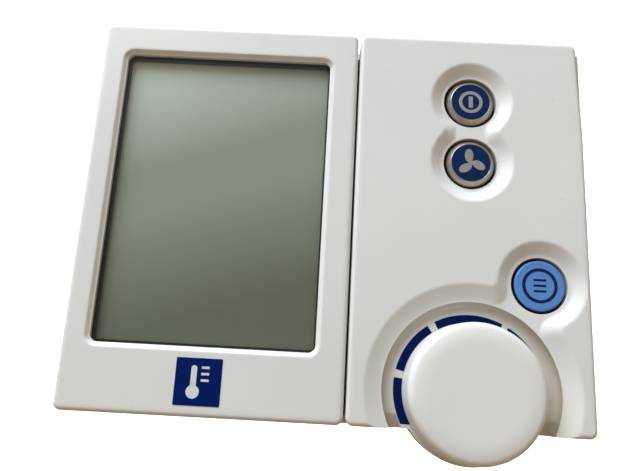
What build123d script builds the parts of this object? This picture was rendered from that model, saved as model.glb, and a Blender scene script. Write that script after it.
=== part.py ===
"""Wall thermostat: a display module and a control module side by side on one rear case,
hung on a wall plate, with three push buttons and a dial that overhangs the bottom edge.

Frame: X to the right, Z up, the wall is the plane y = 0 and the front faces -Y.
Sizes are millimetres. "Depth" is measured back from the front face of the covers.
"""

from build123d import *
import math
import os

# ---------------------------------------------------------------- driving dimensions
CASE_WIDTH = 138.0
CASE_HEIGHT = 110.0
CASE_DEPTH = 26.0
CORNER_RADIUS = 2.0
FRONT_ROUND = 1.2  # rounding along the front edges of both covers

WALL = 2.0  # side walls of the covers and the rear case
FACE = 2.2  # front wall of the covers
MODULE_GAP_X = 5.2  # middle of the gap between the two front covers
MODULE_GAP = 0.6

PARTING = 11.0  # depth where the covers meet the rear case
FLOOR_NEAR = 18.0  # depth of the rear case's floor, front side
FLOOR_FAR = 20.0
REAR_CLEARANCE = 0.3  # between the rear case's rim and the wall

WINDOW_X, WINDOW_Z = -32.6, 4.15  # middle of the display window
WINDOW_WIDTH, WINDOW_HEIGHT = 59.1, 83.1
WINDOW_BEVEL = 1.2
WINDOW_CORNER = 2.0
LENS_NEAR, LENS_FAR = 1.2, 2.4
GASKET_FAR = 4.0
LENS_MARGIN = 1.5  # lens hidden behind the bezel on each side
MASK_LIP = 0.5  # how far the black gasket shows inside the window, on average
MASK_DROP = 0.3  # the gasket's opening sits this much lower than the window

GLASS_NEAR, GLASS_MID, GLASS_FAR = 4.1, 5.2, 6.3
GUIDE_NEAR, REFLECTOR_NEAR, REFLECTOR_FAR = 6.4, 9.3, 9.6
LCD_INSIDE_WIDTH, LCD_INSIDE_HEIGHT = 60.9, 84.9  # inside of the holder
LCD_WALL = 1.0
STRIP_OFFSET = 40.4  # contact strips above and below the display's middle

BOARD_NEAR, BOARD_FAR = 13.0, 14.6

BUTTON_X = 37.7
POWER_Z = 35.7
FUNCTION_Z = 17.2
MODE_X, MODE_Z = 56.0, -16.5
DISH_DEPTH = 2.0
DISH_SLOPE = 61.0  # degrees between a dish's side and the push direction
DISH_BACK = 4.6  # back of the cover's wall behind a dish
BUTTON_HOLE = 7.5
MODE_HOLE = 7.6
BUTTON_DISH_FLOOR = 8.1  # radius of the flat floor of a button's dish
MODE_DISH_FLOOR = 8.2
NECK_HALF = 4.0
MODE_NECK_HALF = 5.5
BUTTON_TRAVEL = 0.5

CAP_TOP = 1.2  # depth of the top of the power and function caps
CAP_RIM_RADIUS = 5.8
CAP_BASE_RADIUS = 6.9
CAP_FOOT = 2.8  # depth where a cap's sloping shoulder ends
INLAY_RADIUS = 5.4
INLAY_DEPTH = 0.8  # depth of the pocket for the inlay
CAP_WALL = 1.5
CAP_INSIDE = 3.4  # depth of the inside of a cap's top
STEM_RADIUS = 2.2
MODE_CAP_TOP = 1.8
MODE_CAP_RADIUS = 6.8
FLANGE_NEAR, FLANGE_FAR = 5.0, 6.0
FLANGE_RADIUS = 8.8
SWITCH_TOP = 9.4
PLUNGER_TOP = 8.3
PLUNGER_RADIUS = 1.75

DIAL_X, DIAL_Z = 37.7, -45.05
DIAL_DISH_RADIUS = 28.2
RECESS_RADIUS = 23.2
RECESS_EDGE = DISH_DEPTH  # depth of the sharp edge of the recess
RECESS_FLOOR = 4.1
RECESS_FLOOR_FAR = 6.2
RECESS_BACK = 9.2  # back of the wall around the recess
ENCODER_OPENING = 9.2  # radius of the space for the encoder behind the floor
FACET_TOP = -51.35  # height below which the floor falls away beside the scale
FACET_DROP = 1.6
SCALE_RADIUS = 20.2  # the floor stays flat within this radius
ARC_INNER, ARC_OUTER = 16.4, 20.0
ARC_SPANS = [(-33, 59), (64, 118), (124, 166), (172, 213)]  # degrees from +X
ARC_BOTTOM = -54.0  # the lowest arcs are cut off level here
POD_RADIUS = 18.6  # the dial's support that stands below the case
POD_FAR = 9.5
POD_WALL = 1.6
KNOB_BASE = 3.9
KNOB_FACE = -6.2
KNOB_BASE_RADIUS = 17.8
KNOB_TOP_RADIUS = 17.4
KNOB_ROUND = 1.7
KNOB_WALL = 2.0
KNOB_HUB_RADIUS = 5.4
SHAFT_RADIUS = 3.0
SHAFT_TOP, SHAFT_FLAT_END = -3.0, 1.5
SHAFT_FLAT = 1.5  # distance of the shaft's flat from its axis
RUNNING_FIT = 0.05
BUSHING_NEAR, ENCODER_NEAR = 2.0, 6.6
BUSHING_RADIUS = 3.5

PLATE_WIDTH, PLATE_HEIGHT = 126.0, 98.0
PLATE_NEAR = 23.6
RIB_NEAR = 21.6  # front of the stiffening rib round the plate's edge
COLLAR_NEAR = 22.2  # front of the collar round the cable entry
LOCK_DEPTH = 22.3  # depth of the lock screw's axis
SCREW_SPACING = 84.0  # wall screws side by side
SCREW_SPACING_UPRIGHT = 60.3  # wall screws one above the other
WALL_HOLE_RADIUS = 2.25
WALL_SLOT_LENGTH = 8.0
ENTRY_WIDTH, ENTRY_HEIGHT = 36.0, 30.0  # cable entry through plate and rear case
HOOK_X, HOOK_Z = 50.0, 30.0

BADGE_X, BADGE_Z, BADGE_SIZE = -32.45, -46.2, 12.0
BADGE_CORNER = 0.35
BADGE_BACK = 0.4  # depth of the pocket it lies in
BADGE_FRONT = -0.1
INK = 0.3  # depth of the inlaid symbols

BEZEL_LEFT = -CASE_WIDTH / 2
BEZEL_RIGHT = MODULE_GAP_X - MODULE_GAP / 2
COVER_LEFT = MODULE_GAP_X + MODULE_GAP / 2
COVER_RIGHT = CASE_WIDTH / 2
HALF_HEIGHT = CASE_HEIGHT / 2
LENS_WIDTH = WINDOW_WIDTH + 2 * LENS_MARGIN
LENS_HEIGHT = WINDOW_HEIGHT + 2 * LENS_MARGIN

BEZEL_SCREWS = [(-60.0, 50.2), (-9.0, 50.2), (-60.0, -49.5), (-9.0, -49.5)]
COVER_SCREWS = [(12.0, 50.2), (63.0, 50.2), (9.5, -49.5), (64.3, -50.0)]
CASE_BOSS = 2.3
CASE_SCREW = 1.0
BOARD_SCREWS = [(-58.0, -43.0), (8.5, 42.0), (60.0, 42.0), (10.0, -36.0)]
BOARD_BOSS = 3.0
BOARD_SCREW = 1.1


# ---------------------------------------------------------------- shape helpers
def y_at(depth):
    """Height y in the part's frame of a depth behind the front face."""
    return depth - CASE_DEPTH


def front_plane(depth, x=0, z=0):
    """The plane of the front view, x right and z up, at a depth."""
    return Plane(origin=(x, y_at(depth), z), x_dir=(1, 0, 0), z_dir=(0, -1, 0))


def slab(outline, near, far):
    """A sketch of the front view made solid between two depths."""
    return extrude(front_plane(far) * outline, amount=far - near)


def disc(x, z, radius, near, far):
    return slab(Pos(x, z) * Circle(radius), near, far)


def block(left, right, bottom, top, near, far):
    outline = Pos((left + right) / 2, (bottom + top) / 2) * Rectangle(right - left, top - bottom)
    return slab(outline, near, far)


def plate(x, z, width, height, radius, near, far):
    return slab(Pos(x, z) * RectangleRounded(width, height, radius), near, far)


def turned(x, z, profile):
    """A body of revolution about an axis along Y from (radius, depth) points."""
    points = [(radius, y_at(depth)) for radius, depth in profile]
    face = make_face(Polyline(*points, close=True))
    return Pos(x, 0, z) * revolve(face, Axis.Y)


def sector(x, z, inner, outer, start, end, near, far):
    """A ring segment between two angles, in degrees from +X."""
    middle = math.radians((start + end) / 2)
    first, last = math.radians(start), math.radians(end)

    def at(radius, angle):
        return (x + radius * math.cos(angle), z + radius * math.sin(angle))

    outline = (
        ThreePointArc(at(outer, first), at(outer, middle), at(outer, last))
        + Line(at(outer, last), at(inner, last))
        + ThreePointArc(at(inner, last), at(inner, middle), at(inner, first))
        + Line(at(inner, first), at(outer, first))
    )
    return slab(make_face(outline), near, far)


def dish(x, z, floor_radius):
    """A round dish: flat floor, conical side up to the front face and beyond."""
    spread = math.tan(math.radians(DISH_SLOPE))
    over = 1.0
    return turned(x, z, [
        (0, -over),
        (floor_radius + (DISH_DEPTH + over) * spread, -over),
        (floor_radius, DISH_DEPTH),
        (0, DISH_DEPTH),
    ])


def neck(start, end, half_width):
    """A trough with a flat floor and sloping sides that joins two dishes."""
    spread = math.tan(math.radians(DISH_SLOPE))
    over = 1.0
    wide = half_width + (DISH_DEPTH + over) * spread
    length = math.dist(start, end)
    angle = math.degrees(math.atan2(end[1] - start[1], end[0] - start[0]))
    across = Polyline(
        (-half_width, y_at(DISH_DEPTH)),
        (half_width, y_at(DISH_DEPTH)),
        (wide, y_at(-over)),
        (-wide, y_at(-over)),
        close=True,
    )
    trough = extrude(make_face(across), amount=length)
    upright = Pos(start[0], 0, start[1]) * Rot(0, 90 - angle, 0)
    return upright * trough


def rounded_front(body, radius):
    """Round every edge of the foremost flat face."""
    front = body.faces().sort_by(Axis.Y)[0]
    return fillet(front.edges(), radius)


def screw(x, z, head_near, head_radius, head_height, shank_radius, tip, toward_front):
    """A pan-head screw along Y with a cross recess in its head."""
    step = -1 if toward_front else 1
    seat = head_near
    top = seat - step * head_height
    head = disc(x, z, head_radius, min(seat, top), max(seat, top))
    shank = disc(x, z, shank_radius, min(seat, tip), max(seat, tip))
    bottom = top + step * head_height * 0.55
    low, high = min(top, bottom), max(top, bottom)
    arm = head_radius * 0.6
    cross = block(x - arm, x + arm, z - 0.25, z + 0.25, low, high)
    cross += block(x - 0.25, x + 0.25, z - arm, z + arm, low, high)
    return head + shank - cross


# ---------------------------------------------------------------- wall plate and case
def wall_plate():
    body = plate(0, 0, PLATE_WIDTH, PLATE_HEIGHT, 4, PLATE_NEAR, CASE_DEPTH)
    rib = plate(0, 0, PLATE_WIDTH, PLATE_HEIGHT, 4, RIB_NEAR, PLATE_NEAR)
    rib -= plate(0, 0, PLATE_WIDTH - 3.2, PLATE_HEIGHT - 3.2, 2.4, RIB_NEAR, PLATE_NEAR)
    collar = plate(0, 0, ENTRY_WIDTH + 7, ENTRY_HEIGHT + 7, 3.5, COLLAR_NEAR, PLATE_NEAR)
    body += rib
    body += collar
    body -= plate(0, 0, ENTRY_WIDTH + 4, ENTRY_HEIGHT + 4, 2, COLLAR_NEAR, CASE_DEPTH)
    for side in (-1, 1):
        at = Pos(side * SCREW_SPACING / 2, 0)
        slot = at * SlotOverall(WALL_SLOT_LENGTH, 2 * WALL_HOLE_RADIUS)
        body -= slab(slot, PLATE_NEAR, CASE_DEPTH)
        hole_z = side * SCREW_SPACING_UPRIGHT / 2
        body -= disc(0, hole_z, WALL_HOLE_RADIUS, PLATE_NEAR, CASE_DEPTH)
        for level in (-1, 1):
            body += hook(side * HOOK_X, level * HOOK_Z)
    tab = block(-6, 6, -48.9, -44.0, 21.0, PLATE_NEAR)
    pilot = Pos(0, y_at(LOCK_DEPTH), -46) * Cylinder(1.1, 6)
    return body + tab - pilot


def hook(x, z):
    """An upward hook that stands through a slot in the rear case's floor."""
    post = block(x - 4, x + 4, z - 1.5, z + 0.5, 17.6, PLATE_NEAR)
    lip = block(x - 4, x + 4, z - 1.5, z + 3.0, 16.2, 17.6)
    return post + lip


def rear_case():
    outside = plate(0, 0, CASE_WIDTH, CASE_HEIGHT, CORNER_RADIUS, PARTING, CASE_DEPTH - REAR_CLEARANCE)
    inner_width, inner_height = CASE_WIDTH - 2 * WALL, CASE_HEIGHT - 2 * WALL
    body = outside - plate(0, 0, inner_width, inner_height, 1.0, PARTING, FLOOR_NEAR)
    body -= plate(0, 0, inner_width, inner_height, 1.0, FLOOR_FAR, CASE_DEPTH)
    body -= plate(0, 0, ENTRY_WIDTH, ENTRY_HEIGHT, 2, FLOOR_NEAR, FLOOR_FAR)
    for x, z in BOARD_SCREWS:
        body += disc(x, z, BOARD_BOSS, BOARD_FAR, FLOOR_NEAR)
        body -= disc(x, z, BOARD_SCREW + RUNNING_FIT, BOARD_FAR, 19.0)
    for x, z in BEZEL_SCREWS + COVER_SCREWS:
        body -= disc(x, z, CASE_SCREW + 0.3, FLOOR_NEAR, FLOOR_FAR)
    for side in (-1, 1):
        for level in (-1, 1):
            x, z = side * HOOK_X, level * HOOK_Z
            body -= block(x - 4.3, x + 4.3, z - 4.5, z + 0.8, FLOOR_NEAR, FLOOR_FAR)
    for x in vent_places():
        for z in (-HALF_HEIGHT + WALL / 2, HALF_HEIGHT - WALL / 2):
            body -= block(x - 1.0, x + 1.0, z - 2, z + 2, 12.6, 17.4)
    body -= Pos(0, y_at(LOCK_DEPTH), -54) * Cylinder(1.8, 5)
    return body + side_lip()


def vent_places():
    return [-60 + 4.5 * n for n in range(9)] + [24 + 4.5 * n for n in range(9)]


def side_lip():
    """The wedge of side wall that stands beside the control cover's top right corner."""
    near, bottom, top = 1.6, 36.0, HALF_HEIGHT - 3.0
    outer = slab(case_outline(), near, PARTING)
    cover = slab(cover_outline(0.12), 0, PARTING)
    upper = block(60, 70, bottom, top, near, PARTING)
    return (outer - cover) & upper


def case_outline():
    return RectangleRounded(CASE_WIDTH, CASE_HEIGHT, CORNER_RADIUS)


def cover_outline(grow):
    """The control cover's outline; its right side leans in towards the top."""
    corners = [
        (COVER_LEFT, -HALF_HEIGHT),
        (COVER_RIGHT, -HALF_HEIGHT),
        (COVER_RIGHT, 27.0),
        (COVER_RIGHT - 1.0, HALF_HEIGHT),
        (COVER_LEFT, HALF_HEIGHT),
    ]
    outline = make_face(Polyline(*corners, close=True))
    sharp = [v for v in outline.vertices() if abs(v.Y) > HALF_HEIGHT - 1]
    outline = fillet([v for v in sharp if v.X > 50], CORNER_RADIUS)
    left = [v for v in outline.vertices() if v.X < COVER_LEFT + 0.1]
    outline = fillet(left, CORNER_RADIUS)
    return offset(outline, grow) if grow else outline


def lock_screw():
    """The slotted screw up through the rear case's bottom wall into the plate's tab."""
    seat = -HALF_HEIGHT
    head_height, shank_length = 1.2, 9.7
    head = Pos(0, y_at(LOCK_DEPTH), seat - head_height / 2) * Cylinder(2.6, head_height)
    shank = Pos(0, y_at(LOCK_DEPTH), seat + shank_length / 2) * Cylinder(1.05, shank_length)
    slot = Pos(0, y_at(LOCK_DEPTH), seat - head_height) * Box(4, 0.6, 0.8)
    return head + shank - slot


def case_screws():
    """Screws from behind the rear case's floor into the bosses of both covers."""
    return [
        screw(x, z, FLOOR_FAR, 2.0, 1.3, CASE_SCREW, 11.5, True)
        for x, z in BEZEL_SCREWS + COVER_SCREWS
    ]


# ---------------------------------------------------------------- front covers
def shell(outline_solid, left, right):
    """Hollow out a cover from behind, leaving its face and side walls."""
    middle = (left + right) / 2
    inside = plate(middle, 0, right - left - 2 * WALL, CASE_HEIGHT - 2 * WALL, 1.0, FACE, PARTING)
    return outline_solid - inside


def add_bosses(body, places, start):
    for x, z in places:
        body += disc(x, z, CASE_BOSS, start, FLOOR_NEAR)
        body -= disc(x, z, CASE_SCREW + RUNNING_FIT, 11.0, FLOOR_NEAR)
    return body


def display_bezel():
    middle = (BEZEL_LEFT + BEZEL_RIGHT) / 2
    width = BEZEL_RIGHT - BEZEL_LEFT
    body = plate(middle, 0, width, CASE_HEIGHT, CORNER_RADIUS, 0, PARTING)
    body = rounded_front(body, FRONT_ROUND)
    body = shell(body, BEZEL_LEFT, BEZEL_RIGHT)
    ring = plate(WINDOW_X, WINDOW_Z, LENS_WIDTH + 2.4, LENS_HEIGHT + 2.4, 3, FACE, 3.6)
    body += ring
    body -= window_cut()
    body -= plate(WINDOW_X, WINDOW_Z, LENS_WIDTH + 0.2, LENS_HEIGHT + 0.2, 2.6, LENS_NEAR, 3.6)
    body -= plate(BADGE_X, BADGE_Z, BADGE_SIZE, BADGE_SIZE, BADGE_CORNER, 0, BADGE_BACK)
    return add_bosses(body, BEZEL_SCREWS, 1.5)


def window_cut():
    """The window opening with a bevel all round its front edge."""
    opening = plate(WINDOW_X, WINDOW_Z, WINDOW_WIDTH, WINDOW_HEIGHT, WINDOW_CORNER, -1, 3.6)
    rim = RectangleRounded(WINDOW_WIDTH, WINDOW_HEIGHT, WINDOW_CORNER)
    back = front_plane(WINDOW_BEVEL, WINDOW_X, WINDOW_Z)
    return opening + extrude(back * rim, amount=WINDOW_BEVEL, taper=-45)


def dial_recess():
    """The dish, the round recess and the space for the encoder around the dial's axis."""
    over = 1.0
    slope = (DIAL_DISH_RADIUS - RECESS_RADIUS) / RECESS_EDGE
    hollow = RECESS_RADIUS - SCALE_RADIUS
    bend = math.sqrt(0.5)
    basin = turned(DIAL_X, DIAL_Z, [
        (0, -over),
        (DIAL_DISH_RADIUS + over * slope, -over),
        (RECESS_RADIUS, RECESS_EDGE),
        (RECESS_RADIUS - hollow * (1 - bend), RECESS_EDGE + (RECESS_FLOOR - RECESS_EDGE) * bend),
        (SCALE_RADIUS, RECESS_FLOOR),
        (0, RECESS_FLOOR),
    ])
    bushing = disc(DIAL_X, DIAL_Z, BUSHING_RADIUS + 0.4, RECESS_FLOOR, RECESS_FLOOR_FAR)
    hub = disc(DIAL_X, DIAL_Z, ENCODER_OPENING, RECESS_FLOOR_FAR, RECESS_BACK)
    return basin + bushing + hub + facets()


def facets():
    """The falling floor on each side of the scale, next to the case's bottom edge."""
    near = RECESS_EDGE
    bottom = -HALF_HEIGHT - 1.0
    fall = FACET_DROP * (FACET_TOP - bottom) / (FACET_TOP + HALF_HEIGHT)
    side_view = make_face(Polyline(
        (y_at(near), FACET_TOP),
        (y_at(RECESS_FLOOR), FACET_TOP),
        (y_at(RECESS_FLOOR + fall), bottom),
        (y_at(near), bottom),
        close=True,
    ))
    wedge = extrude(Plane.YZ * side_view, amount=RECESS_RADIUS, both=True)
    ring = disc(DIAL_X, DIAL_Z, RECESS_RADIUS, near, RECESS_BACK)
    ring -= disc(DIAL_X, DIAL_Z, SCALE_RADIUS, near, RECESS_BACK)
    return (Pos(DIAL_X, 0, 0) * wedge) & ring


def dial_pod():
    """The half-round support below the case that carries the dial's lower part."""
    pod = disc(DIAL_X, DIAL_Z, POD_RADIUS, RECESS_FLOOR, POD_FAR)
    pod -= disc(DIAL_X, DIAL_Z, POD_RADIUS - POD_WALL, RECESS_FLOOR_FAR, POD_FAR)
    reach = 2 * POD_RADIUS
    low = -HALF_HEIGHT - reach
    return pod & block(DIAL_X - reach, DIAL_X + reach, low, -HALF_HEIGHT, RECESS_FLOOR, POD_FAR)


def button_dishes():
    cut = dish(BUTTON_X, POWER_Z, BUTTON_DISH_FLOOR) + dish(BUTTON_X, FUNCTION_Z, BUTTON_DISH_FLOOR)
    cut += neck((BUTTON_X, FUNCTION_Z), (BUTTON_X, POWER_Z), NECK_HALF)
    cut += dish(MODE_X, MODE_Z, MODE_DISH_FLOOR)
    cut += neck((DIAL_X, DIAL_Z), (MODE_X, MODE_Z), MODE_NECK_HALF)
    return cut


def control_cover():
    body = slab(cover_outline(0), 0, PARTING)
    solid_cover = body
    body = rounded_front(body, FRONT_ROUND)
    body = shell(body, COVER_LEFT, COVER_RIGHT - 1.0)
    rim = RECESS_RADIUS + WALL
    backing = disc(DIAL_X, DIAL_Z, DIAL_DISH_RADIUS + WALL, FACE, RECESS_FLOOR_FAR)
    backing += disc(DIAL_X, DIAL_Z, rim, RECESS_FLOOR_FAR, RECESS_BACK)
    backing -= disc(DIAL_X, DIAL_Z, rim - 3 * WALL, RECESS_BACK - 1.3, RECESS_BACK)
    backing -= disc(MODE_X, MODE_Z, FLANGE_RADIUS + 0.6, DISH_BACK, RECESS_BACK)
    backing += disc(MODE_X, MODE_Z, MODE_DISH_FLOOR + 2 * WALL, FACE, DISH_BACK)
    for z in (POWER_Z, FUNCTION_Z):
        backing += disc(BUTTON_X, z, BUTTON_DISH_FLOOR + 2 * WALL, FACE, DISH_BACK)
    body += backing & solid_cover
    body -= dial_recess()
    body -= button_dishes()
    for z in (POWER_Z, FUNCTION_Z):
        body -= disc(BUTTON_X, z, BUTTON_HOLE, 0, DISH_BACK)
    body -= disc(MODE_X, MODE_Z, MODE_HOLE, 0, DISH_BACK)
    body += dial_pod()
    body -= Compound(scale_arcs())
    return add_bosses(body, COVER_SCREWS, WALL)


def badge():
    side = BADGE_SIZE - 2 * RUNNING_FIT
    corner = BADGE_CORNER - RUNNING_FIT
    return plate(BADGE_X, BADGE_Z, side, side, corner, BADGE_FRONT, BADGE_BACK) - badge_symbol()


def badge_symbol():
    """A plain thermometer sign: a bulb, a stem and three marks."""
    x, z, near = BADGE_X - 1.2, BADGE_Z, BADGE_FRONT
    sign = disc(x, z - 2.5, 1.7, near, near + INK)
    sign += plate(x, z + 0.8, 1.5, 6.6, 0.74, near, near + INK)
    marks = [block(x + 1.9, x + 3.9, level - 0.3, level + 0.3, near, near + INK)
             for level in (z + 0.4, z + 2.0, z + 3.6)]
    return Compound([sign] + marks)


# ---------------------------------------------------------------- display
def display_lens():
    return plate(WINDOW_X, WINDOW_Z, LENS_WIDTH, LENS_HEIGHT, 2.5, LENS_NEAR, LENS_FAR)


def lens_gasket():
    body = plate(WINDOW_X, WINDOW_Z, LENS_WIDTH, LENS_HEIGHT, 2.5, LENS_FAR, GASKET_FAR)
    inside = (WINDOW_WIDTH - 2 * MASK_LIP, WINDOW_HEIGHT - 2 * MASK_LIP)
    return body - plate(WINDOW_X, WINDOW_Z - MASK_DROP, *inside, 1.5, LENS_FAR, GASKET_FAR)


def lcd_front_glass():
    size = (LCD_INSIDE_WIDTH - 0.2, LCD_INSIDE_HEIGHT - 3.4)
    return plate(WINDOW_X, WINDOW_Z, *size, 0.3, GLASS_NEAR, GLASS_MID)


def lcd_rear_glass():
    size = (LCD_INSIDE_WIDTH - 0.2, LCD_INSIDE_HEIGHT - 0.2)
    return plate(WINDOW_X, WINDOW_Z, *size, 0.3, GLASS_MID, GLASS_FAR)


def light_guide():
    body = plate(WINDOW_X, WINDOW_Z, 60.2, 76.8, 0.5, GUIDE_NEAR, REFLECTOR_NEAR)
    return chamfer(body.faces().sort_by(Axis.Y)[0].edges(), 0.3)


def reflector_sheet():
    return plate(WINDOW_X, WINDOW_Z, 60.2, 76.8, 0.5, REFLECTOR_NEAR, REFLECTOR_FAR)


def lcd_frame():
    width, height = LCD_INSIDE_WIDTH + 2 * LCD_WALL, LCD_INSIDE_HEIGHT + 2 * LCD_WALL
    body = plate(WINDOW_X, WINDOW_Z, width, height, 0.8, GLASS_NEAR + 0.2, BOARD_NEAR)
    body -= plate(WINDOW_X, WINDOW_Z, LCD_INSIDE_WIDTH, LCD_INSIDE_HEIGHT, 0.4, 0, BOARD_NEAR)
    for side in (-1, 1):
        edge = WINDOW_X + side * (LCD_INSIDE_WIDTH / 2 + 0.2)
        inner = WINDOW_X + side * (LCD_INSIDE_WIDTH / 2 - 2.4)
        low, high = min(edge, inner), max(edge, inner)
        body += block(low, high, WINDOW_Z - 36, WINDOW_Z + 36, REFLECTOR_FAR, REFLECTOR_FAR + 1.2)
    return body


def connector_strips():
    """Two elastomer bars that join the rear glass to the board."""
    return [
        block(WINDOW_X - 27, WINDOW_X + 27, z - 1.2, z + 1.2, GLASS_FAR, BOARD_NEAR)
        for z in (WINDOW_Z - STRIP_OFFSET, WINDOW_Z + STRIP_OFFSET)
    ]


# ---------------------------------------------------------------- board and electronics
def main_board():
    outline = Rectangle(128, 93)
    outline += Pos(DIAL_X, -48) * Rectangle(20, 9)
    outline -= Pos(-64, -46.5) * Rectangle(11, 9)
    body = slab(outline, BOARD_NEAR, BOARD_FAR)
    for x, z in BOARD_SCREWS:
        body -= disc(x, z, 1.5, BOARD_NEAR, BOARD_FAR)
    return body


def board_screws():
    return [
        screw(x, z, BOARD_NEAR, 2.2, 1.3, BOARD_SCREW, 18.6, False)
        for x, z in BOARD_SCREWS
    ]


def push_switch(x, z):
    """A square tactile switch with a well for its plunger and four legs."""
    body = block(x - 3, x + 3, z - 3, z + 3, SWITCH_TOP, BOARD_NEAR)
    body = chamfer(body.edges().filter_by(Axis.Y), 0.4)
    body -= disc(x, z, PLUNGER_RADIUS + RUNNING_FIT, SWITCH_TOP, SWITCH_TOP + 2.0)
    for side in (-1, 1):
        for level in (-1, 1):
            leg_x, leg_z = x + side * 3.3, z + level * 2.2
            body += block(leg_x - 0.35, leg_x + 0.35, leg_z - 0.35, leg_z + 0.35, 11.5, BOARD_NEAR)
    return body


def plunger(x, z):
    body = disc(x, z, PLUNGER_RADIUS, PLUNGER_TOP, SWITCH_TOP + 1.2)
    return chamfer(body.faces().sort_by(Axis.Y)[0].edges(), 0.25)


def encoder_body():
    x, z = DIAL_X, DIAL_Z
    body = block(x - 6, x + 6, z - 6.2, z + 6.2, ENCODER_NEAR, BOARD_NEAR)
    body = chamfer(body.edges().filter_by(Axis.Y), 0.6)
    body -= disc(x, z, BUSHING_RADIUS, ENCODER_NEAR, 7.6)
    body -= disc(x, z, 5.0, 7.6, 11.4)
    return body


def encoder_bushing():
    body = disc(DIAL_X, DIAL_Z, BUSHING_RADIUS, BUSHING_NEAR, 7.6)
    body = chamfer(body.faces().sort_by(Axis.Y)[0].edges(), 0.3)
    return body - disc(DIAL_X, DIAL_Z, SHAFT_RADIUS + RUNNING_FIT, BUSHING_NEAR, 7.6)


def encoder_shaft():
    return disc(DIAL_X, DIAL_Z, SHAFT_RADIUS, SHAFT_TOP, 8.2) - shaft_flat()


def shaft_flat():
    """The part of the shaft's round that is cut away to a flat."""
    left, right = DIAL_X - SHAFT_RADIUS - 1, DIAL_X + SHAFT_RADIUS + 1
    low, high = DIAL_Z + SHAFT_FLAT, DIAL_Z + SHAFT_RADIUS + 1
    return block(left, right, low, high, SHAFT_TOP, SHAFT_FLAT_END)


def encoder_rotor():
    """The notched contact wheel at the inner end of the shaft."""
    body = disc(DIAL_X, DIAL_Z, 4.6, 8.2, 9.4)
    for n in range(12):
        angle = math.radians(30 * n)
        body -= disc(DIAL_X + 4.7 * math.cos(angle), DIAL_Z + 4.7 * math.sin(angle), 0.5, 8.2, 9.4)
    return body


def terminal_block():
    """Five-way wire terminal behind the board, reached through the rear openings."""
    body = block(-12.5, 12.5, 4.0, 13.5, BOARD_FAR, 22.6)
    for n in range(5):
        x = 5.0 * (n - 2)
        body -= block(x - 1.6, x + 1.6, 4.0, 9.5, 17.6, 20.8)
        body -= disc(x, 9.6, 1.9, 19.8, 22.6)
    return body


def terminal_screws():
    screws = []
    for n in range(5):
        x = 5.0 * (n - 2)
        body = disc(x, 9.6, 1.8, 19.8, 22.0)
        screws.append(body - block(x - 1.5, x + 1.5, 9.35, 9.85, 21.3, 22.0))
    return screws


def microcontroller():
    x, z = -30.0, 8.0
    body = block(x - 6, x + 6, z - 6, z + 6, 11.5, BOARD_NEAR - 0.15)
    body = chamfer(body.faces().sort_by(Axis.Y)[0].edges(), 0.3)
    for n in range(11):
        along = -5 + n
        body += block(x + along - 0.2, x + along + 0.2, z - 7, z + 7, 12.6, BOARD_NEAR)
        body += block(x - 7, x + 7, z + along - 0.2, z + along + 0.2, 12.6, BOARD_NEAR)
    return body


def crystal():
    outline = Pos(-14, 8) * SlotOverall(10.5, 4.4)
    body = slab(outline, 10.6, BOARD_NEAR)
    return fillet(body.faces().sort_by(Axis.Y)[0].edges(), 0.6)


def capacitor():
    body = disc(57, 12, 3.2, 5.4, BOARD_NEAR)
    return fillet(body.faces().sort_by(Axis.Y)[0].edges(), 0.6)


def voltage_regulator():
    body = block(50, 56.6, -2, 4.2, 10.8, BOARD_NEAR)
    return body + block(49.2, 57.4, 4.2, 6.0, 12.4, BOARD_NEAR)


def temperature_sensor():
    """A thermistor bead on two leads at the lower edge of the board, near the vents."""
    bead = Pos(-40, y_at(9.6), -43.5) * Sphere(1.4)
    leads = [disc(-40 + side * 0.7, -43.5, 0.25, 10.2, BOARD_NEAR) for side in (-1, 1)]
    return bead + leads[0] + leads[1]


# ---------------------------------------------------------------- buttons
def cap_back(radius):
    """The hidden half of a cap's profile: its flange, inside and stem to the switch."""
    return [
        (radius, FLANGE_NEAR),
        (FLANGE_RADIUS, FLANGE_NEAR),
        (FLANGE_RADIUS, FLANGE_FAR),
        (radius - CAP_WALL, FLANGE_FAR),
        (radius - CAP_WALL, CAP_INSIDE),
        (STEM_RADIUS, CAP_INSIDE),
        (STEM_RADIUS, PLUNGER_TOP),
        (0, PLUNGER_TOP),
    ]


def round_cap(x, z):
    """A cap with a flat top, a sloping shoulder and a pocket for its inlay."""
    shoulder = [
        (0, CAP_TOP),
        (CAP_RIM_RADIUS - 0.25, CAP_TOP),
        (CAP_RIM_RADIUS, CAP_TOP + 0.15),
        (CAP_BASE_RADIUS - 0.2, CAP_FOOT - 0.4),
        (CAP_BASE_RADIUS, CAP_FOOT),
    ]
    body = turned(x, z, shoulder + cap_back(CAP_BASE_RADIUS))
    return body - disc(x, z, INLAY_RADIUS + RUNNING_FIT, CAP_TOP, CAP_TOP + INLAY_DEPTH)


def cap_inlay(x, z):
    """The coloured disc let into a cap, standing a hair below its rim."""
    return disc(x, z, INLAY_RADIUS, CAP_TOP + 0.1, CAP_TOP + INLAY_DEPTH)


def power_symbol():
    near = CAP_TOP + 0.1
    ring = disc(BUTTON_X, POWER_Z, 3.4, near, near + INK)
    ring -= disc(BUTTON_X, POWER_Z, 2.45, near, near + INK)
    bar = block(BUTTON_X - 0.6, BUTTON_X + 0.6, POWER_Z - 1.75, POWER_Z + 1.75, near, near + INK)
    return Compound([ring, bar])


def function_symbol():
    """A plain fan sign: three curved blades around a hub."""
    near = CAP_TOP + 0.1
    sign = disc(BUTTON_X, FUNCTION_Z, 0.75, near, near + INK)
    for n in range(3):
        angle = 90 + 120 * n
        blade = Pos(BUTTON_X, FUNCTION_Z) * Rot(0, 0, angle) * Pos(2.15, 0.55) * Ellipse(1.95, 1.2)
        sign += slab(blade, near, near + INK)
    return sign


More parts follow.
